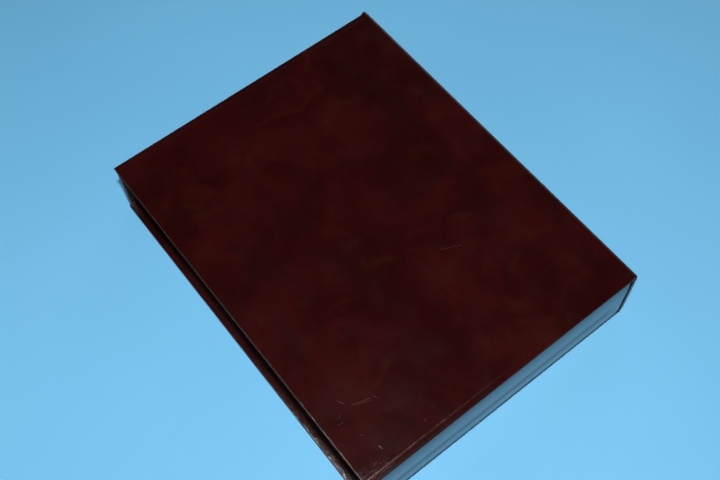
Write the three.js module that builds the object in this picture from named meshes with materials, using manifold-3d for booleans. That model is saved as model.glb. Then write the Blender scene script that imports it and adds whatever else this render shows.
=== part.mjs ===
// A box-type ring binder for A4 sheets, closed and lying on its back cover.
// +Z is up, +X points to the spine, -X to the open fore edge, +Y to the head and -Y to the tail.
// The origin is on the table, under the middle of the binder. Millimetres.
import * as THREE from "three";
import { mergeVertices } from "three/addons/utils/BufferGeometryUtils.js";
import Module from "manifold-3d";

const wasm = await Module();
wasm.setup();

// The case
const caseLength = 316; // head to tail, over the covers
const caseWidth = 248; // fore edge to the spine's outer face
const caseHeight = 60;
const glue = 0.1; // gap between pieces that are glued together
const skin = 0.5; // leatherette covering
const boardThick = 2;
const linerThick = 0.4;
const panelThick = skin + glue + boardThick + glue + skin;
const turnIn = 15; // the covering folded over to a panel's inner side
const edgeRound = 0.9; // covered edges are slightly round
const hingeReach = 6; // each board stops this far from the case's edge, so that the hinge can bend
const hingeThick = 0.9;
const earLength = 1.2; // the front hinge's cloth stands past the cover at head and tail
const wallRelief = 0.4; // the front cover's inner side clears the walls by this much
const wallSetback = 0.8; // from the covers' edges to the walls' faces
const spineClear = 0.4; // between a wall's end and the spine
const apronHigh = 27; // top of the strip of covering that ties each wall to the back cover
const apronThick = 0.4;
const apronMitre = 15; // the strip's spine end is cut back by this much at its top

// The ring mechanism
const ringX = 90; // middle of the mechanism
const sheetPitch = 80; // hole spacing of four-hole A4 sheets
const housingLength = 286;
const housingWidth = 30;
const housingHigh = 7.5;
const steel = 0.9;
const shoulder = 6; // half the flat top of the housing
const lipRise = 2; // the housing's sides are upright below this, over its foot
const lipLean = 1; // and lean in by this above it
const notchClear = 1.2; // on either side of a ring's wire
const notchStart = 4.6; // from the middle of the mechanism
const notchFoot = 1.4; // the sheet left below a notch
const beyond = 1; // a cutting solid runs past the surface that it cuts
const lipHigh = 2.2; // the blades' outer edges turn here, above the back cover
const bladeThick = 1.2;
const bladeLength = 262;
const bladeTilt = 5; // degrees below level while the rings are closed
const bladeSlack = 0.5; // between the blades, and to the housing's lips
const wire = 3.6; // ring wire diameter
const ringHigh = 40; // from the blades' turning line to the crown's wire
const postX = -9.4; // straight half, from the middle of the mechanism
const arcX = 15.6; // curved half's widest place
const arcFootX = 9.4;
const crownGap = 0.3; // between the tips of the two halves
const footGap = 0.3; // under a half ring's foot, where it is staked to its tilted blade
const leverWide = 14;
const leverThick = 1.4;
const leverPin = 1.8; // diameter
const pinClear = 0.3; // round the pin, in the lever's eye
const pinEnd = 0.8; // from a pin's end to the housing's side
const leverEye = 2.3; // outer radius of the rolled eye
const leverPinInset = 5; // from the housing's end
const leverPinHigh = 3.2; // above the back cover
const leverBend = 11; // the plate leans in up to here, above its pin
const leverHigh = 19.9;
const noseReach = 4.6; // the nose below the blades' ends
const noseThick = 1.8;
const slotLength = 10; // at the housing's ends, for the levers
const slotClear = 0.6;
const slotFoot = 4;
const rivetInset = 34; // from the housing's end
const rivetDiameter = 4;
const rivetHead = 8;
const rivetFlange = 0.8;
const rivetRim = 0.8; // height of the dome's upright rim
const rivetDome = 1.2;
const rivetClear = 0.2;

const halfLength = caseLength / 2;
const halfWidth = caseWidth / 2;
const floorHigh = panelThick; // inner side of the back cover
const wallTop = caseHeight - panelThick - wallRelief;
const pivotHigh = floorHigh + lipHigh;
const pivotReach = housingWidth / 2 - steel - bladeSlack;
const rad = THREE.MathUtils.degToRad;

const leatherette = new THREE.MeshStandardMaterial({ color: 0x2a0c0b, roughness: 0.25, metalness: 0 });
const greyboard = new THREE.MeshStandardMaterial({ color: 0x6f6a63, roughness: 0.95, metalness: 0 });
const liningPaper = new THREE.MeshStandardMaterial({ color: 0x9e917d, roughness: 0.75, metalness: 0 });
const nickel = new THREE.MeshStandardMaterial({ color: 0xc9c6c0, roughness: 0.22, metalness: 1 });

// ---- solids ----

// A geometry becomes a manifold solid.
function solid(geometry) {
  const bare = geometry.index ? geometry.toNonIndexed() : geometry.clone();
  bare.deleteAttribute("normal");
  bare.deleteAttribute("uv");
  const merged = mergeVertices(bare, 1e-4);
  return new wasm.Manifold(new wasm.Mesh({
    numProp: 3,
    vertProperties: merged.attributes.position.array,
    triVerts: new Uint32Array(merged.index.array),
  }));
}

// A manifold solid becomes a geometry.
function geometryOf(manifold) {
  const mesh = manifold.getMesh();
  const geometry = new THREE.BufferGeometry();
  geometry.setAttribute("position", new THREE.BufferAttribute(mesh.vertProperties, 3));
  geometry.setIndex(new THREE.BufferAttribute(mesh.triVerts, 1));
  const flat = geometry.toNonIndexed();
  flat.computeVertexNormals();
  return flat;
}

// A box between two corners.
function boxBetween([x0, y0, z0], [x1, y1, z1]) {
  const box = new THREE.BoxGeometry(x1 - x0, y1 - y0, z1 - z0);
  box.translate((x0 + x1) / 2, (y0 + y1) / 2, (z0 + z1) / 2);
  return box;
}

// An outline in X and Z, drawn out along Y from yLow to yHigh.
function alongY(shape, yLow, yHigh) {
  const settings = { depth: yHigh - yLow, bevelEnabled: false, curveSegments: 8 };
  const body = new THREE.ExtrudeGeometry(shape, settings);
  body.rotateX(Math.PI / 2);
  body.translate(0, yHigh, 0);
  return body;
}

// An outline in Y and Z, drawn out along X from xLow to xHigh.
function alongX(shape, xLow, xHigh) {
  const settings = { depth: xHigh - xLow, bevelEnabled: false, curveSegments: 8 };
  const body = new THREE.ExtrudeGeometry(shape, settings);
  body.rotateY(Math.PI / 2);
  body.rotateX(Math.PI / 2);
  body.translate(xLow, 0, 0);
  return body;
}

// A rectangle with round corners, in the plane that alongY or alongX draws out.
function roundedRectangle(a0, b0, a1, b1, radius) {
  const shape = new THREE.Shape();
  shape.moveTo(a0 + radius, b0);
  shape.lineTo(a1 - radius, b0);
  shape.absarc(a1 - radius, b0 + radius, radius, -Math.PI / 2, 0);
  shape.lineTo(a1, b1 - radius);
  shape.absarc(a1 - radius, b1 - radius, radius, 0, Math.PI / 2);
  shape.lineTo(a0 + radius, b1);
  shape.absarc(a0 + radius, b1 - radius, radius, Math.PI / 2, Math.PI);
  shape.lineTo(a0, b0 + radius);
  shape.absarc(a0 + radius, b0 + radius, radius, Math.PI, Math.PI * 1.5);
  return shape;
}

// A closed outline through points.
function outline(points) {
  const shape = new THREE.Shape();
  points.forEach(([a, b], i) => (i ? shape.lineTo(a, b) : shape.moveTo(a, b)));
  return shape;
}

// A round rod through points, as one straight or curved run.
function rod(points, diameter, steps) {
  const path = new THREE.CatmullRomCurve3(points, false, "catmullrom", 0.5);
  const section = new THREE.Shape();
  section.absarc(0, 0, diameter / 2, 0, Math.PI * 2);
  const settings = { steps, extrudePath: path, curveSegments: 5, bevelEnabled: false };
  return new THREE.ExtrudeGeometry(section, settings);
}

const binder = new THREE.Group();

function add(name, geometry, material) {
  const mesh = new THREE.Mesh(geometry, material);
  mesh.name = name;
  binder.add(mesh);
}

// ---- covered panels: a board in a wrap of covering, and a liner over the board's bare side ----

// axis is the panel's thin direction, and inward is +1 or -1 along it, from the outer to the inner side.
// The board and the liner are holed for the rivets.
function panel(name, low, high, axis, inward, rivets = []) {
  const others = [0, 1, 2].filter((i) => i !== axis);
  // depths run from the panel's outer side, and grow widens (or, below 0, narrows) the other two ways
  const block = (depthA, depthB, grow) => {
    const from = [...low];
    const to = [...high];
    const depths = inward > 0
      ? [low[axis] + depthA, low[axis] + depthB]
      : [high[axis] - depthB, high[axis] - depthA];
    from[axis] = depths[0];
    to[axis] = depths[1];
    for (const i of others) {
      from[i] -= grow;
      to[i] += grow;
    }
    return boxBetween(from, to);
  };
  const wrap = roundedPanel(low, high, axis)
    .subtract(solid(block(skin, skin + boardThick + 2 * glue, -skin)))
    .subtract(solid(block(skin + boardThick, panelThick + beyond, -turnIn)));
  add(`${name}_covering`, geometryOf(wrap), leatherette);
  let board = solid(block(skin + glue, skin + glue + boardThick, -skin - glue));
  for (const rivet of rivets) {
    board = board.subtract(rivet);
  }
  add(`${name}_board`, geometryOf(board), greyboard);
  const linerDepth = skin + boardThick + 2 * glue;
  let liner = solid(block(linerDepth, linerDepth + linerThick, -turnIn - 3 * glue));
  for (const rivet of rivets) {
    liner = liner.subtract(rivet);
  }
  add(`${name}_liner`, geometryOf(liner), liningPaper);
}

// The panel's outer form, with its four long edges round.
function roundedPanel(low, high, axis) {
  if (axis === 1) {
    const shape = roundedRectangle(low[1], low[2], high[1], high[2], edgeRound);
    return solid(alongX(shape, low[0], high[0]));
  }
  return solid(alongY(roundedRectangle(low[0], low[2], high[0], high[2], edgeRound), low[1], high[1]));
}

// ---- rivets that hold the mechanism down: a head under the board, and a dome over the housing ----

const rivetPlaces = [-housingLength / 2 + rivetInset, housingLength / 2 - rivetInset];
const rivetFoot = skin + glue;
const housingTop = floorHigh + housingHigh;

function rivetBody(y, clearance) {
  const shank = rivetDiameter / 2 + clearance;
  const head = rivetHead / 2 + clearance;
  const domeDraft = 0.5;
  const profile = [
    [0, rivetFoot - clearance],
    [head, rivetFoot - clearance],
    [head, rivetFoot + rivetFlange + clearance],
    [shank, rivetFoot + rivetFlange + clearance],
    [shank, housingTop + glue],
    [rivetHead / 2, housingTop + glue],
    [rivetHead / 2 - domeDraft, housingTop + glue + rivetRim],
    [0, housingTop + glue + rivetDome],
  ];
  const lathe = new THREE.LatheGeometry(profile.map(([r, z]) => new THREE.Vector2(r, z)), 24);
  lathe.rotateX(Math.PI / 2);
  lathe.translate(ringX, y, 0);
  return lathe;
}

// ---- the case ----

panel("back",
  [-halfWidth, -halfLength, 0],
  [halfWidth - hingeReach, halfLength, panelThick],
  2, 1, rivetPlaces.map((y) => solid(rivetBody(y, glue))));
panel("front",
  [-halfWidth, -halfLength, caseHeight - panelThick],
  [halfWidth - hingeReach, halfLength, caseHeight],
  2, -1);
panel("spine",
  [halfWidth - panelThick, -halfLength, hingeReach],
  [halfWidth, halfLength, caseHeight - hingeReach],
  0, -1);

const wallEnd = halfWidth - panelThick - spineClear;
const wallFace = halfLength - wallSetback;
const wallFoot = floorHigh + glue;
panel("head_wall",
  [-halfWidth + wallSetback, wallFace - panelThick, wallFoot],
  [wallEnd, wallFace, wallTop],
  1, -1);
panel("tail_wall",
  [-halfWidth + wallSetback, -wallFace, wallFoot],
  [wallEnd, -wallFace + panelThick, wallTop],
  1, 1);

// The strip of covering that is folded up the outside of a wall from its foot. Its spine end is mitred.
function apron(name, side) {
  const foreEnd = -halfWidth + wallSetback;
  const shape = outline([
    [foreEnd, wallFoot],
    [wallEnd, wallFoot],
    [wallEnd - apronMitre, apronHigh],
    [foreEnd, apronHigh],
  ]);
  const near = wallFace + glue;
  const far = near + apronThick;
  add(name, side > 0 ? alongY(shape, near, far) : alongY(shape, -far, -near), leatherette);
}
apron("head_apron", 1);
apron("tail_apron", -1);

// Flexible hinges: an L of cloth that runs from a cover, round the case's edge, to the spine.
function hinge(name, edgeHigh, up, ear) {
  const endGap = 0.3;
  const reach = hingeReach - endGap;
  const bend = 3;
  const right = halfWidth;
  const at = (z) => edgeHigh - up * z;
  const shape = new THREE.Shape();
  shape.moveTo(right - reach, at(0));
  shape.lineTo(right - bend, at(0));
  shape.quadraticCurveTo(right, at(0), right, at(bend));
  shape.lineTo(right, at(reach));
  shape.lineTo(right - hingeThick, at(reach));
  shape.lineTo(right - hingeThick, at(bend));
  shape.quadraticCurveTo(right - hingeThick, at(hingeThick), right - bend, at(hingeThick));
  shape.lineTo(right - reach, at(hingeThick));
  add(name, alongY(shape, -halfLength - ear, halfLength + ear), leatherette);
}
hinge("front_hinge", caseHeight, 1, earLength);
hinge("rear_hinge", 0, -1, 0);

// ---- the ring mechanism ----

const ringPlaces = [-1.5, -0.5, 0.5, 1.5].map((n) => n * sheetPitch);
const half = housingWidth / 2;

// The arched cover plate, open below and at its ends, with a notch where each ring comes out.
function housing() {
  const low = floorHigh + glue;
  const inner = half - steel;
  const under = housingTop - steel;
  const shape = new THREE.Shape();
  shape.moveTo(ringX - half, low);
  shape.lineTo(ringX - half, low + lipRise);
  shape.quadraticCurveTo(ringX - half + lipLean, housingTop, ringX - shoulder, housingTop);
  shape.lineTo(ringX + shoulder, housingTop);
  shape.quadraticCurveTo(ringX + half - lipLean, housingTop, ringX + half, low + lipRise);
  shape.lineTo(ringX + half, low);
  shape.lineTo(ringX + inner, low);
  shape.lineTo(ringX + inner, low + lipRise);
  shape.quadraticCurveTo(ringX + inner - lipLean, under, ringX + shoulder, under);
  shape.lineTo(ringX - shoulder, under);
  shape.quadraticCurveTo(ringX - inner + lipLean, under, ringX - inner, low + lipRise);
  shape.lineTo(ringX - inner, low);
  let plate = solid(alongY(shape, -housingLength / 2, housingLength / 2));
  const notch = wire / 2 + notchClear;
  for (const y of ringPlaces) {
    for (const side of [-1, 1]) {
      const from = side < 0 ? ringX - half - beyond : ringX + notchStart;
      const to = side < 0 ? ringX - notchStart : ringX + half + beyond;
      plate = plate.subtract(solid(boxBetween(
        [from, y - notch, low + notchFoot], [to, y + notch, housingTop + beyond])));
    }
  }
  for (const y of rivetPlaces) {
    const radius = rivetDiameter / 2 + rivetClear;
    const hole = new THREE.CylinderGeometry(radius, radius, 2 * housingTop, 24);
    hole.rotateX(Math.PI / 2);
    hole.translate(ringX, y, floorHigh);
    plate = plate.subtract(solid(hole));
  }
  return plate.subtract(leverSlots());
}

// Slots at the housing's two ends, where the levers stand.
function leverSlots() {
  const slot = (side) => {
    const from = side * (housingLength / 2 - slotLength);
    const to = side * (housingLength / 2 + beyond);
    const wide = leverWide / 2 + slotClear;
    return solid(boxBetween(
      [ringX - wide, Math.min(from, to), floorHigh + slotFoot],
      [ringX + wide, Math.max(from, to), housingTop + beyond],
    ));
  };
  return slot(1).add(slot(-1));
}
add("ring_housing", geometryOf(housing()), nickel);

// A blade turns about its outer edge. side is -1 towards the fore edge and +1 towards the spine.
function blade(side) {
  const inner = bladeSlack / 2;
  const flat = new THREE.Shape();
  const reach = pivotReach - inner;
  const cornerCut = 0.3;
  flat.moveTo(0, 0);
  flat.lineTo(reach, -Math.tan(rad(bladeTilt)) * reach);
  flat.lineTo(reach, -Math.tan(rad(bladeTilt)) * reach - bladeThick);
  flat.lineTo(cornerCut, -bladeThick);
  let plate = solid(alongY(flat, -bladeLength / 2, bladeLength / 2));
  if (side > 0) {
    plate = plate.mirror([1, 0, 0]);
  }
  plate = plate.translate([ringX + side * pivotReach, 0, pivotHigh + bladeThick / 2]);
  for (const y of rivetPlaces) {
    const window = rivetDiameter / 2 + 1;
    plate = plate.subtract(solid(boxBetween(
      [ringX - window, y - window, 0], [ringX + window, y + window, caseHeight])));
  }
  return plate;
}

// The blades' tilted top, at a distance from the middle of the mechanism.
function bladeTopAt(distance) {
  return pivotHigh + bladeThick / 2 - Math.tan(rad(bladeTilt)) * (pivotReach - distance);
}

const crown = pivotHigh + ringHigh;

// Straight half of a ring: a post that leans over at the top to meet the curved half.
function ringPost(y) {
  const x = ringX + postX;
  const points = [
    [x, bladeTopAt(-postX) + footGap],
    [x, crown - 9],
    [x + 1.2, crown - 4],
    [x + 4.4, crown - 0.8],
    [ringX - 1.6, crown],
    [ringX - crownGap / 2, crown],
  ].map(([px, pz]) => new THREE.Vector3(px, y, pz));
  return rod(points, wire, 18);
}

// Curved half of a ring: from the crown, out over the spine side and back in to the blade.
function ringArc(y) {
  const x = ringX;
  const points = [
    [x + crownGap / 2, crown],
    [x + 1.6, crown],
    [x + 7, crown - 1.8],
    [x + 13, crown - 7.6],
    [x + arcX, crown - 17],
    [x + arcX, crown - 26],
    [x + 13.6, crown - 33],
    [x + arcFootX + 0.2, bladeTopAt(arcFootX) + 3],
    [x + arcFootX, bladeTopAt(arcFootX) + 1.5],
    [x + arcFootX, bladeTopAt(arcFootX) + footGap],
  ].map(([px, pz]) => new THREE.Vector3(px, y, pz));
  return rod(points, wire, 24);
}

add("blade_front", geometryOf(blade(-1)), nickel);
add("blade_rear", geometryOf(blade(1)), nickel);
ringPlaces.forEach((y, i) => {
  add(`ring_post_${i + 1}`, ringPost(y), nickel);
  add(`ring_arc_${i + 1}`, ringArc(y), nickel);
});
add("rivet_tail", rivetBody(rivetPlaces[0], 0), nickel);
add("rivet_head", rivetBody(rivetPlaces[1], 0), nickel);

// A lever at each end: a bent steel plate with a rolled eye, which turns on a pin across the housing.
const pinY = housingLength / 2 - leverPinInset;
const pinZ = floorHigh + leverPinHigh;

// A round bar along X through the middle of the lever's pin at the head end.
function barAlongX(radius, length, segments) {
  const bar = new THREE.CylinderGeometry(radius, radius, length, segments);
  bar.rotateZ(Math.PI / 2);
  bar.translate(ringX, pinY, pinZ);
  return solid(bar);
}

function lever(side) {
  const bendY = pinY - 0.2;
  const tipY = pinY + 2.6;
  const cut = 0.5; // the tip's end is cut square to the plate
  const shape = outline([
    [pinY - leverThick / 2, pinZ],
    [pinY + leverThick / 2, pinZ],
    [bendY, pinZ + leverBend],
    [tipY, pinZ + leverHigh - cut],
    [tipY - leverThick + cut / 2, pinZ + leverHigh],
    [bendY - leverThick, pinZ + leverBend],
  ]);
  const nose = outline([
    [pinY - noseReach, pinZ - noseThick / 2],
    [pinY, pinZ - noseThick / 2],
    [pinY, pinZ + noseThick / 2],
    [pinY - noseReach, pinZ + noseThick / 2],
  ]);
  const wide = leverWide / 2;
  const plate = solid(alongX(shape, ringX - wide, ringX + wide))
    .add(solid(alongX(nose, ringX - wide, ringX + wide)))
    .add(barAlongX(leverEye, leverWide, 24))
    .subtract(barAlongX(leverPin / 2 + pinClear, leverWide * 2, 20));
  return side > 0 ? plate : plate.mirror([0, 1, 0]);
}

// The pin spans the housing between its side walls.
function leverPinBody(side) {
  const pin = barAlongX(leverPin / 2, 2 * (half - steel - pinEnd), 20);
  return side > 0 ? pin : pin.mirror([0, 1, 0]);
}
for (const [place, side] of [["head", 1], ["tail", -1]]) {
  add(`lever_${place}`, geometryOf(lever(side)), nickel);
  add(`lever_pin_${place}`, geometryOf(leverPinBody(side)), nickel);
}

export default binder;
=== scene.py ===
"""A box-type ring binder in marbled leatherette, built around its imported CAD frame, in metres."""
import math
from collections import namedtuple

import bmesh
import bpy
from mathutils import Matrix, Vector, noise


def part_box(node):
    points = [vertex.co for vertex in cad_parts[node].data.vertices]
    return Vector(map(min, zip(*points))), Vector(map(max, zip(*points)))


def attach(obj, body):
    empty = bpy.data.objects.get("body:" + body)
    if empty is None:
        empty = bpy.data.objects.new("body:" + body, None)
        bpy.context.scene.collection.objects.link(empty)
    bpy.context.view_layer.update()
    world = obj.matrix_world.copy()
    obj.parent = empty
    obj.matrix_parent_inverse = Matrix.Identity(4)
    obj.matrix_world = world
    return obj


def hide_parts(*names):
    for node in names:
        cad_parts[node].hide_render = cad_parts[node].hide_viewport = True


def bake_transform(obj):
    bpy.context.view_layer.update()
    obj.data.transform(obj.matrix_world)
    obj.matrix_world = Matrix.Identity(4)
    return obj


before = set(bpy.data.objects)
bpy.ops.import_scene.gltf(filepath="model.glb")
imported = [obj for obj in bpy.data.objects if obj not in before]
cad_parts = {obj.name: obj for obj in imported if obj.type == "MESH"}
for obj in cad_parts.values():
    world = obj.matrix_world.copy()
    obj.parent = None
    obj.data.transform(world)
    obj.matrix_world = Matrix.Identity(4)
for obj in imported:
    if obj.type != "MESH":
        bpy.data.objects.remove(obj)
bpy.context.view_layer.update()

# ---- dimensions ----

MM = 0.001
SKIN = 0.5 * MM  # leatherette covering
BOARD = 2.2 * MM  # board and its glue
TURN_IN = 15 * MM  # covering folded over to a panel's inner side
HINGE_REACH = 6 * MM  # from the case's edge to the boards on both sides of it

FRONT_LOW, FRONT_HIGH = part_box("front_covering")
HOUSING_LOW, HOUSING_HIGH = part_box("ring_housing")
CASE_HEIGHT = FRONT_HIGH.z
RING_X = (HOUSING_LOW.x + HOUSING_HIGH.x) / 2

# How an edge of a panel falls away: the round at its very edge, the ridge inside it with a small step down,
# and a soft bulge that starts further in. rub says how worn the edge is, from 0 to 1.
Edge = namedtuple("Edge", "round ridge step bulge rub", defaults=(0.0, 0.0, 0.0, 0.0, 0.0))
PLAIN_EDGE = Edge(0.9 * MM, 2.2 * MM, 0.06 * MM, rub=0.25)
FORE_EDGE = Edge(0.5 * MM, 2.2 * MM, 0.06 * MM, rub=0.6)
TAIL_EDGE = Edge(1.5 * MM, 5.0 * MM, 0.22 * MM, rub=0.1)
BACK_EDGE = Edge(0.3 * MM, 2.2 * MM, 0.06 * MM)
HINGE_EDGE = Edge()
WALL_TOP = Edge(0.9 * MM, bulge=1.4 * MM, rub=0.3)
WALL_END = Edge(0.9 * MM, rub=0.8)
WALL_FOOT = Edge(0.2 * MM)
WALL = (WALL_END, WALL_FOOT, WALL_FOOT, WALL_TOP)


# ---- materials ----
# A noise's or cell pattern's first number is its scale, in features per metre. Colours are linear.

class Graph:
    """Short names for the shader nodes that the materials below are made of."""

    def __init__(self, name):
        self.material = bpy.data.materials.new(name)
        self.material.use_nodes = True
        self.tree = self.material.node_tree
        self.shader = self.tree.nodes["Principled BSDF"]
        self.place = self.node("ShaderNodeTexCoord").outputs["Object"]

    def node(self, kind, **settings):
        made = self.tree.nodes.new(kind)
        for key, value in settings.items():
            setattr(made, key, value)
        return made

    def put(self, value, socket):
        """Links value if it is another node's output, and sets it if it is a number or a colour."""
        if isinstance(value, bpy.types.NodeSocket):
            self.tree.links.new(value, socket)
        else:
            socket.default_value = value

    def math(self, operation, *values, clamp=False):
        made = self.node("ShaderNodeMath", operation=operation, use_clamp=clamp)
        for value, socket in zip(values, made.inputs):
            self.put(value, socket)
        return made.outputs[0]

    def times(self, first, second):
        return self.math("MULTIPLY", first, second)

    def most(self, first, second):
        return self.math("MAXIMUM", first, second)

    def stretched(self, scale, turn=0.0):
        """The object's own coordinates, turned about Z by turn radians, with a scale along each axis."""
        made = self.node("ShaderNodeMapping")
        self.put(self.place, made.inputs["Vector"])
        made.inputs["Scale"].default_value = scale
        made.inputs["Rotation"].default_value = (0, 0, turn)
        return made.outputs["Vector"]

    def noise(self, scale, detail=2.0, rough=0.5, distort=0.0, at=None):
        made = self.node("ShaderNodeTexNoise")
        self.put(at or self.place, made.inputs["Vector"])
        made.inputs["Scale"].default_value = scale
        made.inputs["Detail"].default_value = detail
        made.inputs["Roughness"].default_value = rough
        made.inputs["Distortion"].default_value = distort
        return made.outputs["Fac"]

    def cells(self, scale, feature="DISTANCE_TO_EDGE"):
        made = self.node("ShaderNodeTexVoronoi", feature=feature)
        self.put(self.place, made.inputs["Vector"])
        made.inputs["Scale"].default_value = scale
        return made.outputs["Distance"]

    def between(self, value, low, high, to_low=0.0, to_high=1.0):
        """Goes smoothly from to_low to to_high as value goes from low to high."""
        made = self.node("ShaderNodeMapRange", interpolation_type="SMOOTHSTEP")
        self.put(value, made.inputs["Value"])
        for key, number in (("From Min", low), ("From Max", high), ("To Min", to_low), ("To Max", to_high)):
            made.inputs[key].default_value = number
        return made.outputs["Result"]

    def mix(self, share, first, second):
        made = self.node("ShaderNodeMix", data_type="RGBA")
        self.put(share, made.inputs["Factor"])
        self.put(first, made.inputs["A"])
        self.put(second, made.inputs["B"])
        return made.outputs["Result"]

    def attribute(self, name):
        return self.node("ShaderNodeAttribute", attribute_name=name).outputs["Fac"]

    def axes(self):
        made = self.node("ShaderNodeSeparateXYZ")
        self.put(self.place, made.inputs[0])
        return made.outputs

    def bump(self, height, depth, below=None):
        """Bumps depth metres deep, on top of the bumps given as below."""
        made = self.node("ShaderNodeBump")
        made.inputs["Strength"].default_value = 1.0
        made.inputs["Distance"].default_value = depth
        self.put(height, made.inputs["Height"])
        if below is not None:
            self.put(below, made.inputs["Normal"])
        return made.outputs["Normal"]

    def finish(self, colour, rough, normal, metal=0.0):
        self.put(colour, self.shader.inputs["Base Color"])
        self.put(rough, self.shader.inputs["Roughness"])
        self.put(normal, self.shader.inputs["Normal"])
        self.shader.inputs["Metallic"].default_value = metal
        return self.material


def rgb(red, green, blue):
    return (red, green, blue, 1.0)


def marbling(g):
    """Burgundy with soft orange-brown and purple-black mottles, a few centimetres across."""
    deep = rgb(0.0160, 0.0015, 0.0015)
    burgundy = rgb(0.0270, 0.0026, 0.0023)
    russet = rgb(0.0320, 0.0058, 0.0026)
    plum = rgb(0.0120, 0.0019, 0.0028)
    painted_glint = rgb(0.09, 0.025, 0.018)
    clouds = g.noise(17, detail=4, rough=0.55, distort=0.5)
    patches = g.noise(34, detail=3, rough=0.5, distort=0.9)
    veins = g.noise(62, detail=5, rough=0.62, distort=1.4)
    # The tiny lighter specks all over are painted glints of the grain under the lamp.
    glint_specks = g.noise(1500, detail=1)
    colour = g.mix(g.between(clouds, 0.36, 0.66), deep, burgundy)
    colour = g.mix(g.times(g.between(patches, 0.52, 0.74), 0.45), colour, russet)
    colour = g.mix(g.times(g.between(veins, 0.54, 0.76), 0.6), colour, plum)
    return g.mix(g.times(g.between(glint_specks, 0.62, 0.8), 0.10), colour, painted_glint)


def hairlines(g):
    """Faint handling scratches, in two directions, where the surface was rubbed most."""
    rubbed = g.between(g.noise(13, detail=2), 0.46, 0.68)
    one_way = g.noise(1.0, detail=1, at=g.stretched((14, 1500, 1500), 0.5))
    other_way = g.noise(1.0, detail=1, at=g.stretched((18, 1300, 1300), -1.1))
    return g.times(g.most(g.between(one_way, 0.70, 0.78), g.between(other_way, 0.72, 0.80)), rubbed)


# Scratches that stand out on the front cover, in millimetres: how far their middle is from the fore edge and
# from the tail edge, direction in degrees, length, half width and strength.
SCRATCHES = (
    (24, 17, -78, 4, 0.40, 1.0),
    (19, 31, -24, 3, 0.26, 0.5),
    (13, 46, -8, 5, 0.20, 0.35),
    (15, 50, 20, 5, 0.20, 0.3),
    (33, 50, -17, 16, 0.22, 0.35),
    (35, 48, -22, 13, 0.22, 0.3),
    (22, 58, -62, 6, 0.26, 0.4),
    (43, 46, -64, 6, 0.24, 0.4),
    (59, 13, -80, 3, 0.30, 0.35),
    (157, 102, -25, 20, 0.18, 0.25),
)


def scratch(g, axes, place, angle, length, half_width):
    """A mask that is 1 along one straight scratch on the front cover."""
    along_x, along_y = math.cos(angle), math.sin(angle)
    from_x = g.math("SUBTRACT", axes[0], place[0])
    from_y = g.math("SUBTRACT", axes[1], place[1])
    along = g.math("ADD", g.times(from_x, along_x), g.times(from_y, along_y))
    aside = g.math("SUBTRACT", g.times(from_y, along_x), g.times(from_x, along_y))
    in_length = g.between(g.math("ABSOLUTE", along), length / 2, length / 2 * 0.7)
    in_width = g.between(g.math("ABSOLUTE", aside), half_width, half_width * 0.3)
    return g.times(in_length, in_width)


def scratches(g, axes):
    """The scratches listed above, and the streaks along the ridge at the cover's fore corner, partly brushed
    scratches and partly painted sheen.
    """
    speckle = g.between(g.noise(1700, detail=2), 0.42, 0.60)
    every = 0.0
    for from_fore, from_tail, angle, length, half_width, strength in SCRATCHES:
        place = (FRONT_LOW.x + from_fore * MM, FRONT_LOW.y + from_tail * MM)
        mark = scratch(g, axes, place, math.radians(angle), length * MM, half_width * MM)
        every = g.most(every, g.times(mark, strength))
    every = g.times(every, g.math("ADD", 0.12, g.times(speckle, 0.75)))
    # The streaks are painted lighter only by the fore corner of the ridge: partly scratches, partly the
    # painted sheen that falls there.
    near_ridge = g.between(axes[1], FRONT_LOW.y + TAIL_EDGE.ridge, FRONT_LOW.y + 16 * MM, 1.0, 0.0)
    near_fore = g.between(axes[0], FRONT_LOW.x, FRONT_LOW.x + 35 * MM, 1.0, 0.0)
    strokes = g.noise(1.0, detail=3, rough=0.7, at=g.stretched((200, 1600, 1600), 0.12))
    brushed_and_sheen = g.times(g.between(strokes, 0.46, 0.66), speckle)
    return g.most(every, g.times(g.times(g.times(near_ridge, near_fore), brushed_and_sheen), 0.6))


def ridge_wear_and_highlight(g, axes):
    """The rubbed line along the front cover's ridge at its tail edge, painted lighter also as a highlight,
    strongest at the fore edge near the key lamp.
    """
    from_ridge = g.math("ABSOLUTE", g.math("SUBTRACT", axes[1], FRONT_LOW.y + TAIL_EDGE.ridge))
    line = g.between(from_ridge, 0.7 * MM, 0.1 * MM)
    highlight_fade = g.between(axes[0], FRONT_LOW.x, FRONT_LOW.x + 140 * MM, 1.0, 0.0)
    breaks = g.noise(1.0, detail=4, rough=0.7, at=g.stretched((300, 900, 1)))
    return g.times(g.times(line, highlight_fade), g.between(breaks, 0.40, 0.60))


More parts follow.
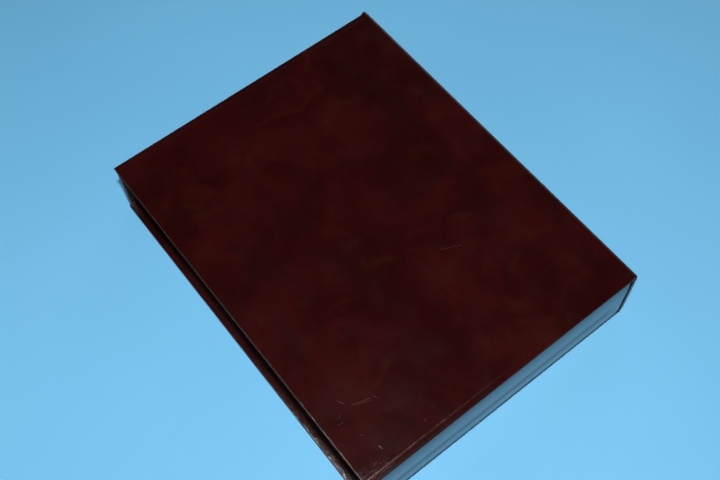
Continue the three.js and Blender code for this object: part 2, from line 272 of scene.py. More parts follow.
def leatherette(name, gloss, marked=False):
    """Leatherette with a fine grain and worn edges.

    gloss is 0 for the covers' finish and 1 for the walls' varnish. The front cover is marked: it has a rubbed
    ridge, painted lighter also as a highlight, and scratches, with painted sheen in the streaks at its fore
    corner.
    The points' wear, from 0 to 1, says where the edges are worn; pale flecks there are partly painted glints.
    """
    rubbed_and_highlight = rgb(0.22, 0.11, 0.095)
    bare_grain_and_glint = rgb(0.42, 0.33, 0.31)
    scratched_and_sheen = rgb(0.42, 0.30, 0.28)
    grain_depth, swell_depth, scratch_depth = 0.21 * MM, 0.05 * MM, 0.015 * MM
    g = Graph(name)
    colour = marbling(g)
    wear = g.attribute("wear")
    worn = g.between(g.times(wear, g.noise(420, detail=4, rough=0.7)), 0.36, 0.58)
    lines = g.times(hairlines(g), 0.03)
    if marked:
        axes = g.axes()
        # The ridge line is partly rub and partly a painted highlight; it lightens both the rubbed colour and
        # the scratch colour.
        ridge = ridge_wear_and_highlight(g, axes)
        worn = g.most(worn, g.times(ridge, 0.5))
        lines = g.most(g.times(ridge, 0.07), g.most(lines, scratches(g, axes)))
    # The pale flecks in clusters on the most worn edges are partly bare grain and partly painted glints.
    wear_and_glint_clusters = g.times(g.between(g.noise(110, detail=3), 0.40, 0.62), g.between(wear, 0.45, 0.95))
    wear_and_glint_flecks = g.times(g.between(g.noise(1250, detail=2), 0.54, 0.66), wear_and_glint_clusters)
    # The rubbed colour is edge wear, and along the front cover's ridge also a painted highlight.
    colour = g.mix(g.times(worn, 0.45), colour, rubbed_and_highlight)
    colour = g.mix(g.times(wear_and_glint_flecks, 0.7), colour, bare_grain_and_glint)
    # The scratch colour also carries the painted sheen of the corner streaks and the ridge's painted
    # highlight.
    colour = g.mix(g.times(lines, 0.6), colour, scratched_and_sheen)
    rough = g.between(g.noise(45, detail=3), 0.3, 0.75, 0.17 - 0.05 * gloss, 0.23 - 0.06 * gloss)
    rough = g.math("ADD", rough, g.times(wear, 0.25), clamp=True)
    grain = g.times(g.cells(1300), g.between(wear, 0.0, 0.2, 0.08, 1.0))
    normal = g.bump(grain, grain_depth)
    normal = g.bump(g.noise(150, detail=2), swell_depth, normal)
    normal = g.bump(g.times(lines, -1.0), scratch_depth, normal)
    g.shader.inputs["IOR"].default_value = 1.46 + 0.04 * gloss
    return g.finish(colour, rough, normal)


def lining_paper():
    """Uncoated lining paper with short fibres."""
    g = Graph("lining_paper")
    cloudy = g.noise(30, detail=4)
    fibres = g.noise(1.0, detail=3, rough=0.6, at=g.stretched((900, 180, 300), 0.6))
    colour = g.mix(g.between(cloudy, 0.3, 0.7), rgb(0.50, 0.44, 0.34), rgb(0.58, 0.52, 0.42))
    colour = g.mix(g.times(g.between(fibres, 0.55, 0.75), 0.3), colour, rgb(0.36, 0.30, 0.22))
    return g.finish(colour, g.between(fibres, 0.3, 0.7, 0.68, 0.82), g.bump(fibres, 0.03 * MM))


def greyboard():
    """Grey pulp board."""
    g = Graph("greyboard")
    pulp = g.noise(700, detail=5, rough=0.7)
    colour = g.mix(g.between(pulp, 0.3, 0.7), rgb(0.20, 0.18, 0.16), rgb(0.32, 0.30, 0.27))
    return g.finish(colour, g.between(pulp, 0.3, 0.7, 0.85, 0.95), g.bump(pulp, 0.08 * MM))


def nickel():
    """Bright nickel plate over rolled steel: nearly a mirror, with fine drawn lines and fingermarks."""
    g = Graph("nickel")
    drawn = g.noise(1.0, detail=3, at=g.stretched((2600, 40, 2600)))
    marks = g.noise(60, detail=4, rough=0.6)
    colour = g.mix(g.between(marks, 0.35, 0.7), rgb(0.66, 0.64, 0.60), rgb(0.78, 0.77, 0.74))
    rough = g.math("ADD", g.between(marks, 0.35, 0.75, 0.12, 0.24), g.times(drawn, 0.06))
    return g.finish(colour, rough, g.bump(drawn, 0.004 * MM), metal=1.0)


def zinc_steel():
    """Dull zinc-plated steel of the blades and pins."""
    g = Graph("zinc_steel")
    spangle = g.cells(420, feature="F1")
    rolled = g.noise(1.0, detail=3, at=g.stretched((1500, 60, 1500)))
    colour = g.mix(g.between(spangle, 0.2, 0.8), rgb(0.42, 0.43, 0.43), rgb(0.55, 0.55, 0.53))
    return g.finish(colour, g.between(rolled, 0.3, 0.7, 0.34, 0.46), g.bump(rolled, 0.006 * MM), metal=1.0)


def table_surface():
    """A plain, pale blue, matt table top."""
    g = Graph("table")
    cloudy = g.noise(3, detail=3)
    colour = g.mix(g.between(cloudy, 0.3, 0.7), rgb(0.155, 0.49, 0.79), rgb(0.17, 0.52, 0.82))
    rough = g.between(g.noise(90, detail=3), 0.3, 0.7, 0.62, 0.72)
    return g.finish(colour, rough, g.bump(g.noise(900), 0.02 * MM))


# ---- mesh helpers ----

def new_piece(name, points, faces, material, body, nodes, sharp=32.0, wear=None):
    """A mesh with faces out, which rides on a body and stands for CAD nodes.

    It is shaded smooth where its faces meet at less than sharp degrees. A hinge cloth has no body here.
    """
    mesh = bpy.data.meshes.new(name)
    mesh.from_pydata([tuple(p) for p in points], [], faces)
    if wear is not None:
        mesh.attributes.new("wear", "FLOAT", "POINT").data.foreach_set("value", wear)
    shape = bmesh.new()
    shape.from_mesh(mesh)
    bmesh.ops.recalc_face_normals(shape, faces=shape.faces)
    shape.to_mesh(mesh)
    shape.free()
    mesh.shade_smooth()
    mesh.set_sharp_from_angle(angle=math.radians(sharp))
    mesh.materials.append(material)
    piece = bpy.data.objects.new(name, mesh)
    bpy.context.scene.collection.objects.link(piece)
    if body:
        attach(piece, body)
    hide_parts(*nodes)
    return piece


def apply_modifiers(piece):
    """Turns the piece's modifiers into mesh."""
    graph = bpy.context.evaluated_depsgraph_get()
    made = bpy.data.meshes.new_from_object(piece.evaluated_get(graph))
    piece.modifiers.clear()
    piece.data = made


def smooth_step(share):
    share = min(max(share, 0.0), 1.0)
    return share * share * (3 - 2 * share)


def turns(sides):
    """The angles of the corners of a regular polygon."""
    return [math.tau * k / sides for k in range(sides)]


def add_loop(points, fresh):
    """Adds fresh points to points, and gives their numbers."""
    first = len(points)
    points.extend(fresh)
    return list(range(first, len(points)))


def quads_between(lower, upper):
    """Quads that join two closed loops of point numbers."""
    count = len(lower)
    return [(lower[i], lower[(i + 1) % count], upper[(i + 1) % count], upper[i]) for i in range(count)]


def capped(loops):
    """The faces of a solid through a row of loops: its two ends, and the quads between the loops."""
    faces = [tuple(loops[0]), tuple(loops[-1])]
    for lower, upper in zip(loops, loops[1:]):
        faces += quads_between(lower, upper)
    return faces


def grid_faces(columns, rows, first=0):
    """The quads of a grid of points that are numbered along its rows, from first."""
    corners = [first + j * columns + i for j in range(rows - 1) for i in range(columns - 1)]
    return [(a, a + 1, a + 1 + columns, a + columns) for a in corners]


def grid_rim(columns, rows):
    """The columns and rows of the points round the outside of a grid, in order."""
    return ([(i, 0) for i in range(columns)] + [(columns - 1, j) for j in range(1, rows)]
            + [(i, rows - 1) for i in range(columns - 2, -1, -1)] + [(0, j) for j in range(rows - 2, 0, -1)])


# ---- covered panels ----

RAMP = 1.3 * MM  # width of the step at a ridge
BULGE_WIDE = 20 * MM
CORNER_ROUND = 1.1 * MM
UNEVEN = 0.018 * MM  # the most that a covering's outer side dips, to each side of its mean
RUB_WIDE = 1.6 * MM  # how far wear reaches in from an edge
CELL = 6 * MM  # the panels' mesh, away from their edges
NEAR_EDGE = [d * MM for d in (0, 0.12, 0.3, 0.55, 0.9, 1.3, 1.6, 2.0, 2.4, 2.8, 3.4,
                              4.3, 4.6, 4.9, 5.2, 5.5, 5.8, 7.5, 10.5)]  # its lines beside an edge


def edge_drop(distance, edge):
    """How far a panel's outer side lies below its flat middle, at a distance inside one edge."""
    drop = edge.step * (1 - smooth_step((distance - edge.ridge) / RAMP + 0.5))
    drop += edge.bulge * max(0.0, 1 - distance / BULGE_WIDE) ** 2
    if distance < edge.round:
        drop += edge.round - math.sqrt(edge.round ** 2 - (edge.round - distance) ** 2)
    return drop


def grid_lines(half):
    """Lines from -half to half, close together where the edges fall away."""
    near = [d for d in NEAR_EDGE if d < half * 0.9]
    inner = half - near[-1]
    count = max(1, round(2 * inner / CELL))
    middle = [-inner + 2 * inner * i / count for i in range(1, count)]
    return [-half + d for d in near] + middle + [half - d for d in reversed(near)]


def rounded_place(u, v, half_u, half_v, corner):
    """Moves a point of nested rectangles onto the same rectangles with round corners."""
    inside = min(half_u - abs(u), half_v - abs(v))
    radius = corner - inside
    if radius <= 1e-7:
        return u, v
    flat_u, flat_v = half_u - inside - radius, half_v - inside - radius
    if abs(u) <= flat_u or abs(v) <= flat_v:
        return u, v
    share_u, share_v = (abs(u) - flat_u) / radius, (abs(v) - flat_v) / radius
    if share_v >= share_u:
        angle = math.radians(90 - 45 * share_u)
    else:
        angle = math.radians(45 * share_v)
    return (math.copysign(flat_u + radius * math.cos(angle), u),
            math.copysign(flat_v + radius * math.sin(angle), v))


class Panel:
    """One covered panel: u and v run across it from its middle, and depth runs in from its outer side."""

    def __init__(self, node, thin, outward, edges):
        low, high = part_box(node)
        self.thin, self.outward, self.edges = thin, outward, edges
        self.wide = [i for i in range(3) if i != thin]
        self.half = [(high[i] - low[i]) / 2 for i in self.wide]
        self.middle = [(high[i] + low[i]) / 2 for i in self.wide]
        self.thick = high[thin] - low[thin]
        self.outer = high[thin] if outward > 0 else low[thin]

    def place(self, u, v, depth, corner):
        u, v = rounded_place(u, v, self.half[0], self.half[1], corner)
        point = [0.0, 0.0, 0.0]
        point[self.wide[0]] = self.middle[0] + u
        point[self.wide[1]] = self.middle[1] + v
        point[self.thin] = self.outer - self.outward * depth
        return point

    def corner_at(self, u, v):
        """A corner is round only where two round edges meet."""
        meeting = (self.edges[0 if u < 0 else 1], self.edges[2 if v < 0 else 3])
        return CORNER_ROUND if all(edge.round for edge in meeting) else 0.0

    def distances(self, u, v):
        """Each edge, with how far inside it a place is."""
        half_u, half_v = self.half
        return zip((u + half_u, half_u - u, v + half_v, half_v - v), self.edges)

    def drop_at(self, u, v):
        """How far the outer side lies below its highest: its edges, and a slight unevenness."""
        waves_per_metre = Vector((21, 21, 40))
        wave = noise.noise(Vector((u, v, self.outer)) * waves_per_metre)
        return max(edge_drop(d, edge) for d, edge in self.distances(u, v)) + UNEVEN * (1 + wave)

    def rub_at(self, u, v):
        """How worn the covering is at a place on the outer side: most at the rubbed edges."""
        return max(edge.rub * (1 - smooth_step(d / RUB_WIDE)) for d, edge in self.distances(u, v))


def turn_in_steps(thick, round_in, lean):
    """How far in, how deep and how worn the covering's lines are, from its side round to under the board."""
    steps = []
    for turn in (0, 30, 60, 90):
        angle = math.radians(turn)
        steps.append((lean + round_in * (1 - math.cos(angle)), thick - round_in * (1 - math.sin(angle)), 1.0))
    board_side = SKIN + BOARD
    steps += [(lean + round_in + 0.8 * MM, thick, 0.3), (4 * MM, thick, 0.2)]
    steps += [(TURN_IN - 0.2 * MM, thick, 0.15), (TURN_IN, thick - 0.15 * MM, 0.0)]
    return steps + [(TURN_IN, board_side, 0.0), (SKIN, board_side, 0.0)]


def covered_panel(name, thin, outward, edges, body, material, round_in=0.7 * MM, lean=0.0):
    """The covering of one panel: outer side, edges, and mitred turn-ins round a window for the liner.

    thin is the number of the panel's thin axis, outward is +1 or -1 along it, and edges says how the low and
    high edges fall away along each of the other two axes. round_in is the radius on their inner side, and
    lean is how far their sides lean in under the outer side.
    """
    node = f"{name}_covering"
    panel = Panel(node, thin, outward, edges)
    half_u, half_v = panel.half
    us, vs = grid_lines(half_u), grid_lines(half_v)
    columns, rows = len(us), len(vs)
    points = [panel.place(u, v, panel.drop_at(u, v), panel.corner_at(u, v)) for v in vs for u in us]
    wear = [panel.rub_at(u, v) for v in vs for u in us]
    faces = grid_faces(columns, rows)
    rim = grid_rim(columns, rows)
    loop = [j * columns + i for i, j in rim]
    mitre_sink = 0.12 * MM
    for inset, depth, worn in turn_in_steps(panel.thick, round_in, lean):
        fresh = []
        for i, j in rim:
            u = us[i] * (half_u - inset) / half_u
            v = vs[j] * (half_v - inset) / half_v
            mitre = i in (0, columns - 1) and j in (0, rows - 1) and MM < inset < TURN_IN
            corner = panel.corner_at(u, v) if inset < MM else 0.0
            fresh.append(panel.place(u, v, depth - mitre_sink * mitre, corner))
            wear.append(worn * panel.rub_at(us[i], vs[j]))
        fresh_loop = add_loop(points, fresh)
        faces += quads_between(loop, fresh_loop)
        loop = fresh_loop

    first = len(points)
    narrow_u, narrow_v = (half_u - SKIN) / half_u, (half_v - SKIN) / half_v
    for v in vs:
        for u in us:
            under = SKIN + min(panel.drop_at(u, v), SKIN + BOARD / 2)
            points.append(panel.place(u * narrow_u, v * narrow_v, under, 0.0))
            wear.append(0.0)
    faces += quads_between(loop, [first + j * columns + i for i, j in rim])
    faces += grid_faces(columns, rows, first)
    new_piece(f"{name}_wrap", points, faces, material, body, [node], wear=wear)


def bulged_board(name, outward, material):
    """A wall's board, which is thinner along its top, where the wall bulges in."""
    node = f"{name}_board"
    low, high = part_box(node)
    outer, inner = (high.y, low.y) if outward > 0 else (low.y, high.y)
    most = high.y - low.y - 0.3 * MM
    section = [(low.z, inner), (low.z, outer)]
    for step in range(9):
        z = high.z - BULGE_WIDE * (1 - step / 8)
        section.append((z, outer - outward * min(edge_drop(high.z - z, WALL_TOP), most)))
    section.append((high.z, inner))
    points = []
    loops = [add_loop(points, [(x, y, z) for z, y in section]) for x in (low.x, high.x)]
    new_piece(f"{name}_core", points, capped(loops), material, "case_back", [node])


def liner(name, thin, body, material):
    """The lining sheet of one panel: flat, with round corners and softened edges."""
    node = f"{name}_liner"
    low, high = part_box(node)
    wide_u, wide_v = [i for i in range(3) if i != thin]
    corner = 2.0 * MM
    flat_u, flat_v = (high[wide_u] - low[wide_u]) / 2 - corner, (high[wide_v] - low[wide_v]) / 2 - corner
    bottom, top = low[thin], high[thin]
    soft = min(0.1 * MM, (top - bottom) / 3)
    outline = []
    for sign_u, sign_v, start in ((1, 1, 0), (-1, 1, 90), (-1, -1, 180), (1, -1, 270)):
        for turn in range(0, 91, 15):
            outline.append((sign_u, sign_v, math.radians(start + turn)))
    points, loops = [], []
    for inset, level in ((soft, bottom), (0, bottom + soft), (0, top - soft), (soft, top)):
        fresh = []
        for sign_u, sign_v, angle in outline:
            point = (low + high) / 2
            point[wide_u] += sign_u * flat_u + (corner - inset) * math.cos(angle)
            point[wide_v] += sign_v * flat_v + (corner - inset) * math.sin(angle)
            point[thin] = level
            fresh.append(point)
        loops.append(add_loop(points, fresh))
    new_piece(f"{name}_lining", points, capped(loops), material, body, [node])


def apron_sheet(side_name, outward, material):
    """The strip folded up the outside of a wall: thinned out to its top, and mitred at the spine end."""
    node = f"{side_name}_apron"
    low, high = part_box(node)
    face, behind = (high.y, low.y) if outward > 0 else (low.y, high.y)
    back = behind - outward * 0.25 * MM  # a little inside the wall
    sink = high.y - low.y + 0.14 * MM  # enough to go under the wall's own surface
    mitre, mitre_soft = 15 * MM, 5 * MM
    soft, soft_top = 9 * MM, 1.5 * MM
    stations, levels = 60, 24
    points, faces = [], []
    for i in range(stations + 1):
        for k in range(levels + 1):
            z = low.z + (high.z - low.z) * k / levels
            end = high.x - mitre * k / levels
            x = low.x + (end - low.x) * i / stations
            skived = smooth_step((z - high.z + soft_top + soft) / soft)
            near_end = smooth_step(1 - (end - x) / mitre_soft)
            points.append((x, face - outward * sink * max(skived, near_end), z))
            points.append((x, back, z))

    def number(i, k, rear):
        return (i * (levels + 1) + k) * 2 + rear

    for i in range(stations):
        for k in range(levels):
            for rear in (0, 1):
                faces.append((number(i, k, rear), number(i + 1, k, rear),
                              number(i + 1, k + 1, rear), number(i, k + 1, rear)))
        for k in (0, levels):
            faces.append((number(i, k, 0), number(i + 1, k, 0), number(i + 1, k, 1), number(i, k, 1)))
    for i in (0, stations):
        for k in range(levels):
            faces.append((number(i, k, 0), number(i, k + 1, 0), number(i, k + 1, 1), number(i, k, 1)))
    new_piece(f"{node}_strip", points, faces, material, "case_back", [node],
              wear=[0.0] * len(points))


# ---- flexible hinges ----

BEND = 3.0 * MM  # outer radius of the cloth round the case's edge
CLOTH = 0.9 * MM
TURNED_CLOTH = 2.9 * MM  # in the last of its length, where the cloth is turned in
FLARE = 6 * MM  # how long the stretches are at head and tail where the cloth changes
TURN = 0.9  # where it is turned in, as a share of the flare
FRONT_EARS = (0.3 * MM, 1.2 * MM)  # the front hinge's cloth corners stand past the cover at tail and head
REAR_EARS = (0.0, 0.0)
CORNER_WEAR, BEND_WEAR = 0.7, 0.35


def hinge_line(right, offset):
    """The cloth's line, as X and depth, at an offset inside its outer side, from the cover to the spine."""
    flat = HINGE_REACH - BEND
    radius = BEND - offset
    line = [(right - HINGE_REACH + flat * i / 4, offset) for i in range(5)]
    for step in range(1, 8):
        angle = math.radians(90 * step / 8)
        line.append((right - BEND + radius * math.sin(angle), BEND - radius * math.cos(angle)))
    return line + [(right - offset, BEND + flat * i / 4) for i in range(5)]


def pinched(section, share):
    """The cloth's section, pressed flatter at the very end of the flare."""
    pinch = 1 - 0.35 * smooth_step((share - 0.88) / 0.12) ** 2
    made = []
    for (x, depth), (other_x, other_depth) in zip(section, reversed(section)):
        made.append(((x + other_x) / 2 + (x - other_x) / 2 * pinch,
                     (depth + other_depth) / 2 + (depth - other_depth) / 2 * pinch))
    return made


def hinge_end(x, depth, right, ear):
    """How far from the middle the cloth ends: its outer corner stands out by ear, and is then rounded off."""
    ear_wide, ear_ramp, ear_deep = 5 * MM, 2 * MM, 4.5 * MM
    tip, tip_share, tip_deep, tip_ramp = 3.0 * MM, 0.85, 3.2 * MM, 2.6 * MM
    out = smooth_step((x - right + ear_wide) / ear_ramp) * (1 - smooth_step(depth / ear_deep))
    from_side = min(right - x, tip)
    rounding = tip - math.sqrt(tip ** 2 - (tip - from_side) ** 2)
    rounding *= 1 - smooth_step((depth - tip_deep) / tip_ramp)
    return FRONT_HIGH.y + ear * out - rounding * tip_share


def hinge_cloth(name, edge_z, up, bodies, ears, material):
    """The hinge cloth round one edge of the case, across its joint.

    ears says how far the cloth's corner stands past the covers at the tail and at the head.
    """
    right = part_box(name)[1].x
    straight = FRONT_HIGH.y - FLARE
    ends = [straight + FLARE * share for share in (0.0, 0.25, 0.5, 0.7, 0.8, TURN - 0.03, TURN, 0.96, 1.0)]
    cells = 54
    middle = [-straight + 2 * straight * i / cells for i in range(1, cells)]
    points, loops, wear = [], [], []
    for y in [-end for end in reversed(ends)] + middle + ends:
        share = max(0.0, (abs(y) - straight) / FLARE)
        thick = TURNED_CLOTH if share > TURN - 0.01 else CLOTH
        section = hinge_line(right, 0.0) + list(reversed(hinge_line(right, thick)))
        fresh = []
        for x, depth in pinched(section, share):
            end = hinge_end(x, depth, right, ears[0 if y < 0 else 1])
            along = math.copysign(straight + share * (end - straight), y) if share else y
            fresh.append((x, along, edge_z - up * depth))
        loops.append(add_loop(points, fresh))
        for x, depth in section:
            on_bend = x > right - BEND and depth < BEND
            wear.append(CORNER_WEAR if share > 0.85 else BEND_WEAR * on_bend)
    faces = []
    for lower, upper in zip(loops, loops[1:]):
        faces += quads_between(lower, upper)
    for loop in (loops[0], loops[-1]):
        outer, inner = loop[:len(loop) // 2], loop[:len(loop) // 2 - 1:-1]
        faces += list(zip(outer, outer[1:], inner[1:], inner))
    piece = new_piece(f"{name}_cloth", points, faces, material, None, [name],
                      sharp=50, wear=wear)
    if bodies[0] == "spine":
        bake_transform(piece)
    else:
        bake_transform(piece)


# ---- ring mechanism ----

RINGS = (1, 2, 3, 4)


def smooth_path(points, steps):
    """A Catmull-Rom line through points."""
    ends = [points[0] * 2 - points[1]] + points + [points[-1] * 2 - points[-2]]
    line = []
    for a, b, c, d in zip(ends, ends[1:], ends[2:], ends[3:]):
        for i in range(steps):
            t = i / steps
            line.append(0.5 * (2 * b + (c - a) * t + (2 * a - 5 * b + 4 * c - d) * t ** 2
                               + (3 * b - a - 3 * c + d) * t ** 3))
    return line + [points[-1]]


def rod(name, node, line, y, radius, body, material):
    """A round rod along a line of X and Z at one Y, with softly rounded ends."""
    path = smooth_path([Vector((x, y, z)) for x, z in line], 8)
    tip = 0.35 * MM
    start = (path[1] - path[0]).normalized()
    finish = (path[-1] - path[-2]).normalized()
    rings = [(path[0], radius - tip), (path[0] + start * tip, radius)]
    rings += [(p, radius) for p in path[1:-1] if min((p - path[0]).length, (p - path[-1]).length) > 2 * tip]
    rings += [(path[-1] - finish * tip, radius), (path[-1], radius - tip)]
    side = Vector((0, 1, 0))
    points, loops = [], []
    for i, (middle, size) in enumerate(rings):
        ahead = rings[min(i + 1, len(rings) - 1)][0] - rings[max(i - 1, 0)][0]
        ahead.normalize()
        other = ahead.cross(side).normalized()
        fresh = [middle + (side * math.cos(angle) + other * math.sin(angle)) * size for angle in turns(20)]
        loops.append(add_loop(points, fresh))
    new_piece(name, points, capped(loops), material, body, [node])


def ring_halves(number, material):
    """One ring: a straight half on the front blade and a curved one on the rear, which meet at the crown."""
    post_low, post_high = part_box(f"ring_post_{number}")
    arc_low, arc_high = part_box(f"ring_arc_{number}")
    y = (post_low.y + post_high.y) / 2
    wire = (post_high.y - post_low.y) / 2
    crown = post_high.z - wire
    x = post_low.x + wire
    post = [(x, post_low.z), (x, crown - 9 * MM), (x + 1.2 * MM, crown - 4 * MM),
            (x + 4.4 * MM, crown - 0.8 * MM), (post_high.x - 1.45 * MM, crown), (post_high.x, crown)]
    rod(f"ring_post_rod_{number}", f"ring_post_{number}", post, y, wire, "rings_front", material)
    x = arc_low.x
    out = arc_high.x - wire
    foot = arc_low.z
    arc = [(x, crown), (x + 1.45 * MM, crown), (RING_X + 7 * MM, crown - 1.8 * MM),
           (out - 2.6 * MM, crown - 7.6 * MM), (out, crown - 17 * MM), (out, crown - 26 * MM),
           (out - 2 * MM, crown - 33 * MM), (RING_X + 9.6 * MM, foot + 3 * MM),
           (RING_X + 9.4 * MM, foot + 1.5 * MM), (RING_X + 9.4 * MM, foot)]
    rod(f"ring_arc_rod_{number}", f"ring_arc_{number}", arc, y, wire, "rings_rear", material)


def arch_section():
    """The housing's outer line over the arch, from lip to lip, as X from its middle and height."""
    half = (HOUSING_HIGH.x - HOUSING_LOW.x) / 2
    bottom, top = HOUSING_LOW.z, HOUSING_HIGH.z
    shoulder = 6 * MM
    line = [(-half, bottom), (-half, bottom + 1.4 * MM)]
    start = Vector((-half, bottom + 2 * MM))
    bend = Vector((-half + 1 * MM, top))
    end = Vector((-shoulder, top))
    steps = 9
    for i in range(steps + 1):
        t = i / steps
        line.append(tuple(start * (1 - t) ** 2 + bend * 2 * t * (1 - t) + end * t ** 2))
    line += [(-3.4 * MM, top), (-2.2 * MM, top - 0.25 * MM), (0.0, top - 0.3 * MM)]
    return line + [(-x, z) for x, z in reversed(line[:-1])]


def housing_stations(rings, notch, slot_start):
    """Where the housing's mesh has its lines along Y: at each cut's ends, by the rivets, and between them."""
    half_length = HOUSING_HIGH.y
    beside_rivet, end_strip, widest = 2.3 * MM, 0.6 * MM, 7 * MM
    marks = {-half_length, half_length, -slot_start, slot_start}
    marks |= {-half_length + end_strip, half_length - end_strip}
    for y in rings:
        marks |= {y - notch, y + notch}
    for end in ("tail", "head"):
        y = sum(corner.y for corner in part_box(f"rivet_{end}")) / 2
        marks |= {y - beside_rivet, y + beside_rivet}
    stations = []
    for y in sorted(marks):
        if stations:
            last = stations[-1]
            count = max(1, math.ceil((y - last) / widest))
            stations += [last + (y - last) * i / count for i in range(1, count)]
        stations.append(y)
    return stations


def ring_housing(material):
    """The arched cover plate, with its ring notches and lever slots cut out of the sheet."""
    post_wire = 1.8 * MM
    rings = [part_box(f"ring_post_{number}")[0].y + post_wire for number in RINGS]
    notch, notch_from, notch_foot = 3.0 * MM, 4.6 * MM, 1.39 * MM
    slot_start, slot_half, slot_foot = HOUSING_HIGH.y - 10 * MM, 7.6 * MM, 4 * MM

    def is_open(x, y, z):
        """Whether a place on the sheet, as seen from the housing's middle and foot, is cut out."""
        in_notch = any(abs(y - ring) < notch for ring in rings) and abs(x) > notch_from and z > notch_foot
        in_slot = abs(y) > slot_start and abs(x) < slot_half and z > slot_foot
        return in_notch or in_slot

    section = arch_section()
    stations = housing_stations(rings, notch, slot_start)
    points = [Vector((RING_X + x, y, z)) for y in stations for x, z in section]
    foot = Vector((RING_X, 0, HOUSING_LOW.z))
    faces = [face for face in grid_faces(len(section), len(stations))
             if not is_open(*((points[face[0]] + points[face[2]]) / 2 - foot))]
    piece = new_piece("ring_housing_plate", points, faces, material, "case_back", ["ring_housing"])
    shape = bmesh.new()
    shape.from_mesh(piece.data)
    bmesh.ops.delete(shape, geom=[v for v in shape.verts if not v.link_faces], context="VERTS")
    if sum(f.normal.z for f in shape.faces) < 0:
        bmesh.ops.reverse_faces(shape, faces=shape.faces)
    shape.to_mesh(piece.data)
    shape.free()
    thick = piece.modifiers.new("thickness", "SOLIDIFY")
    thick.thickness = 0.85 * MM
    thick.offset = -1.0
    edges = piece.modifiers.new("edges", "BEVEL")
    edges.width = 0.12 * MM
    edges.segments = 2
    edges.limit_method = "ANGLE"
    edges.angle_limit = math.radians(50)
    apply_modifiers(piece)
    piece.data.shade_smooth()
    piece.data.set_sharp_from_angle(angle=math.radians(40))


def lathe(name, profile, centre, material, body, node):
    """A solid turned about a vertical axis: profile starts and ends on the axis."""
    sides = 36
    points, loops = [], []
    for radius, z in profile[1:-1]:
        fresh = [(centre[0] + radius * math.cos(angle), centre[1] + radius * math.sin(angle), z)
                 for angle in turns(sides)]
        loops.append(add_loop(points, fresh))
    faces = []
    for lower, upper in zip(loops, loops[1:]):
        faces += quads_between(lower, upper)
    for loop, end in ((loops[0], profile[0]), (loops[-1], profile[-1])):
        points.append((centre[0], centre[1], end[1]))
        tip = len(points) - 1
        faces += [(loop[k], loop[(k + 1) % sides], tip) for k in range(sides)]
    new_piece(name, points, faces, material, body, [node])


def rivet(place, material):
    """A flat head under the board, a shank, and a low dome over the housing."""
    node = f"rivet_{place}"
    low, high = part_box(node)
    centre = ((low.x + high.x) / 2, (low.y + high.y) / 2)
    head = (high.x - low.x) / 2
    shank = head / 2
    head_thick, head_soft, dome_soft, rim = 0.8 * MM, 0.2 * MM, 0.15 * MM, 0.12 * MM
    seat = HOUSING_HIGH.z + 0.1 * MM
    profile = [(0, low.z), (head - head_soft, low.z), (head, low.z + head_soft), (head, low.z + head_thick),
               (shank, low.z + head_thick), (shank, seat), (head - dome_soft, seat), (head, seat + rim)]
    rise = high.z - seat - rim
    for step in range(1, 8):
        angle = math.radians(90 * step / 8)
        profile.append((head * math.cos(angle), seat + rim + rise * math.sin(angle)))
    profile.append((0, high.z))
    lathe(f"{node}_dome", profile, centre, material, "case_back", node)


# A lever's middle line in millimetres from its pin: outward along the case, and up.
LEVER_LINE = ((0.1, 1.6), (-0.3, 6.0), (-0.9, 11.0), (-0.2, 14.6), (2.0, 19.6))


def lever_width(share):
    """A lever's width as a share of its widest: narrow at its foot, full at its pad, and round at its end."""
    width = 0.80 + 0.20 * smooth_step(share * 1.6)
    tip = max(0.0, (share - 0.80) / 0.20)
    return width * math.sqrt(max(0.0, 1 - 0.75 * tip ** 2.4))


def lever(place, side, material):
    """A bent steel lever: a rolled eye at its foot, and a plate that widens to a rounded thumb pad."""
    node = f"lever_{place}"
    low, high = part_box(node)
    pin = sum(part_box(f"lever_pin_{place}"), Vector()) / 2
    pin.x = RING_X
    half = (high.x - low.x) / 2
    line = smooth_path([pin + Vector((0, side * y * MM, z * MM)) for y, z in LEVER_LINE], 8)
    thick = 1.3 * MM
    across = 14
    total = len(line) - 1
    points, loops = [], []
    for i, middle in enumerate(line):
        ahead = (line[min(i + 1, total)] - line[max(i - 1, 0)]).normalized()
        out = Vector((1, 0, 0)).cross(ahead).normalized()
        width = half * lever_width(i / total)
        fresh = []
        for surface in (1, -1):
            for k in range(across + 1):
                share = 2 * k / across - 1
                offset = thick / 2 * (1 - 0.75 * abs(share) ** 10)
                fresh.append(middle + Vector((share * width * surface, 0, 0)) + out * offset * surface)
        loops.append(add_loop(points, fresh))
    faces = capped(loops) + eye_tube(points, pin, half * 0.78)
    new_piece(f"{node}_plate", points, faces, material, node, [node], sharp=45)


def eye_tube(points, centre, half):
    """Adds a short thick-walled tube along X to a lever's points, and gives its faces."""
    outer, bore, soft = 2.25 * MM, 1.25 * MM, 0.2 * MM
    loops = []
    for x, radius in ((-half, bore), (-half, outer - soft), (-half + soft, outer),
                      (half - soft, outer), (half, outer - soft), (half, bore)):
        fresh = [centre + Vector((x, radius * math.cos(angle), radius * math.sin(angle)))
                 for angle in turns(28)]
        loops.append(add_loop(points, fresh))
    faces = []
    for lower, upper in zip(loops, loops[1:] + loops[:1]):
        faces += quads_between(lower, upper)
    return faces


# ---- the object ----

def dress(nodes, material):
    """Shows CAD nodes as they are, in a material."""
    for node in nodes:
        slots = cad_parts[node].data.materials
        slots.clear()
        slots.append(material)


cover_skin = leatherette("front_leatherette", 0.0, marked=True)
skin = leatherette("case_leatherette", 0.0)
wall_skin = leatherette("wall_leatherette", 1.0)
paper = lining_paper()
board = greyboard()
plated = nickel()
zinc = zinc_steel()

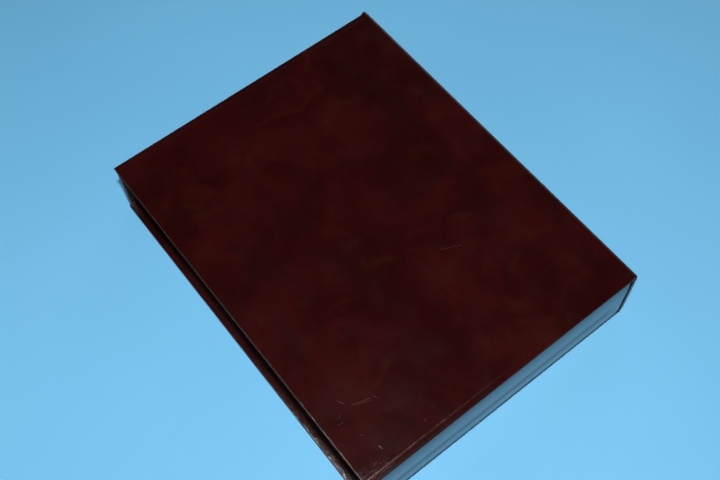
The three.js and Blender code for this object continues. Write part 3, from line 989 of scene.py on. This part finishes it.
covered_panel("front", 2, 1, (FORE_EDGE, HINGE_EDGE, TAIL_EDGE, TAIL_EDGE), "front_cover", cover_skin,
              round_in=1.0 * MM, lean=0.5 * MM)
covered_panel("back", 2, -1, (FORE_EDGE, HINGE_EDGE, BACK_EDGE, BACK_EDGE), "case_back", wall_skin,
              round_in=0.3 * MM)
covered_panel("spine", 0, 1, (PLAIN_EDGE, PLAIN_EDGE, HINGE_EDGE, HINGE_EDGE), "spine", skin,
              round_in=0.3 * MM)
covered_panel("head_wall", 1, 1, WALL, "case_back", wall_skin)
covered_panel("tail_wall", 1, -1, WALL, "case_back", wall_skin)
bulged_board("head_wall", 1, board)
bulged_board("tail_wall", -1, board)
apron_sheet("head", 1, wall_skin)
apron_sheet("tail", -1, wall_skin)
hinge_cloth("front_hinge", CASE_HEIGHT, 1, ("spine", "front_cover"), FRONT_EARS, skin)
hinge_cloth("rear_hinge", 0.0, -1, ("case_back", "spine"), REAR_EARS, skin)

for panel_name, thin_axis, panel_body in (("back", 2, "case_back"), ("front", 2, "front_cover"),
                                          ("spine", 0, "spine"), ("head_wall", 1, "case_back"),
                                          ("tail_wall", 1, "case_back")):
    liner(panel_name, thin_axis, panel_body, paper)
dress(("back_board", "front_board", "spine_board"), board)

ring_housing(plated)
for ring_number in RINGS:
    ring_halves(ring_number, plated)
for end_name, way in (("head", 1), ("tail", -1)):
    rivet(end_name, plated)
    lever(end_name, way, plated)
dress(("blade_front", "blade_rear", "lever_pin_head", "lever_pin_tail"), zinc)


# ---- table, lights and camera ----

def table():
    """A large, flat table top."""
    half, cells = 6.0, 24
    places = [half * (2 * i / cells - 1) for i in range(cells + 1)]
    mesh = bpy.data.meshes.new("table")
    mesh.from_pydata([(x, y, 0.0) for y in places for x in places], [], grid_faces(cells + 1, cells + 1))
    mesh.materials.append(table_surface())
    top = bpy.data.objects.new("table", mesh)
    bpy.context.scene.collection.objects.link(top)


def aim(thing, place, target, roll=0.0):
    """Puts a camera or light at place, looking at target, turned by roll degrees about its line of sight."""
    place, target = Vector(place), Vector(target)
    turn = (target - place).to_track_quat("-Z", "Y").to_matrix().to_4x4()
    thing.matrix_world = Matrix.Translation(place) @ turn @ Matrix.Rotation(math.radians(roll), 4, "Z")


def camera(lens, place, target, roll):
    """The photo's point of view, with a lens in millimetres on a sensor 36 mm wide."""
    data = bpy.data.cameras.new("camera")
    data.lens = lens
    data.sensor_width = 36
    eye = bpy.data.objects.new("camera", data)
    bpy.context.scene.collection.objects.link(eye)
    aim(eye, place, target, roll)
    bpy.context.scene.camera = eye


def area_light(name, place, size, power):
    """A round soft box of a size in metres and a power in watts, turned to the middle of the case."""
    data = bpy.data.lights.new(name, "AREA")
    data.shape = "DISK"
    data.size = size
    data.energy = power
    light = bpy.data.objects.new(name, data)
    bpy.context.scene.collection.objects.link(light)
    aim(light, place, (0, 0, 30 * MM))


def even_light(strength):
    """A weak and very soft light from the key light's side, the same all over the table."""
    data = bpy.data.lights.new("even", "SUN")
    data.energy = strength
    data.angle = math.radians(28)
    light = bpy.data.objects.new("even", data)
    bpy.context.scene.collection.objects.link(light)
    aim(light, (-0.26, -0.40, 1.0), (0, 0, 0))


def room(low, high):
    """A studio room that is bright at eye level and dark overhead: low and high are the two strengths."""
    bright_to, dark_from = 0.05, 0.75  # the upward parts of the directions between which it fades
    world = bpy.data.worlds.new("room")
    world.use_nodes = True
    tree = world.node_tree
    background = tree.nodes["Background"]
    background.inputs["Color"].default_value = rgb(0.90, 0.95, 1.0)
    direction = tree.nodes.new("ShaderNodeTexCoord")
    axes = tree.nodes.new("ShaderNodeSeparateXYZ")
    fade = tree.nodes.new("ShaderNodeMapRange")
    fade.interpolation_type = "SMOOTHSTEP"
    for key, number in (("From Min", bright_to), ("From Max", dark_from), ("To Min", low), ("To Max", high)):
        fade.inputs[key].default_value = number
    tree.links.new(direction.outputs["Generated"], axes.inputs[0])
    tree.links.new(axes.outputs["Z"], fade.inputs["Value"])
    tree.links.new(fade.outputs["Result"], background.inputs["Strength"])
    bpy.context.scene.world = world


table()
camera(lens=50.5, place=(-0.2229, -0.2937, 0.7134), target=(-0.0051, 0.0029, 0.030), roll=-2.07)
room(0.36, 0.0)
area_light("key", place=(-0.201, -0.289, 0.98), size=0.05, power=10.4)
even_light(0.18)
area_light("back_fill", place=(1.9, 1.3, 0.95), size=1.8, power=6.5)
area_light("side_fill", place=(-1.6, 0.8, 0.8), size=1.3, power=2.2)
bpy.context.scene.view_settings.view_transform = "Standard"
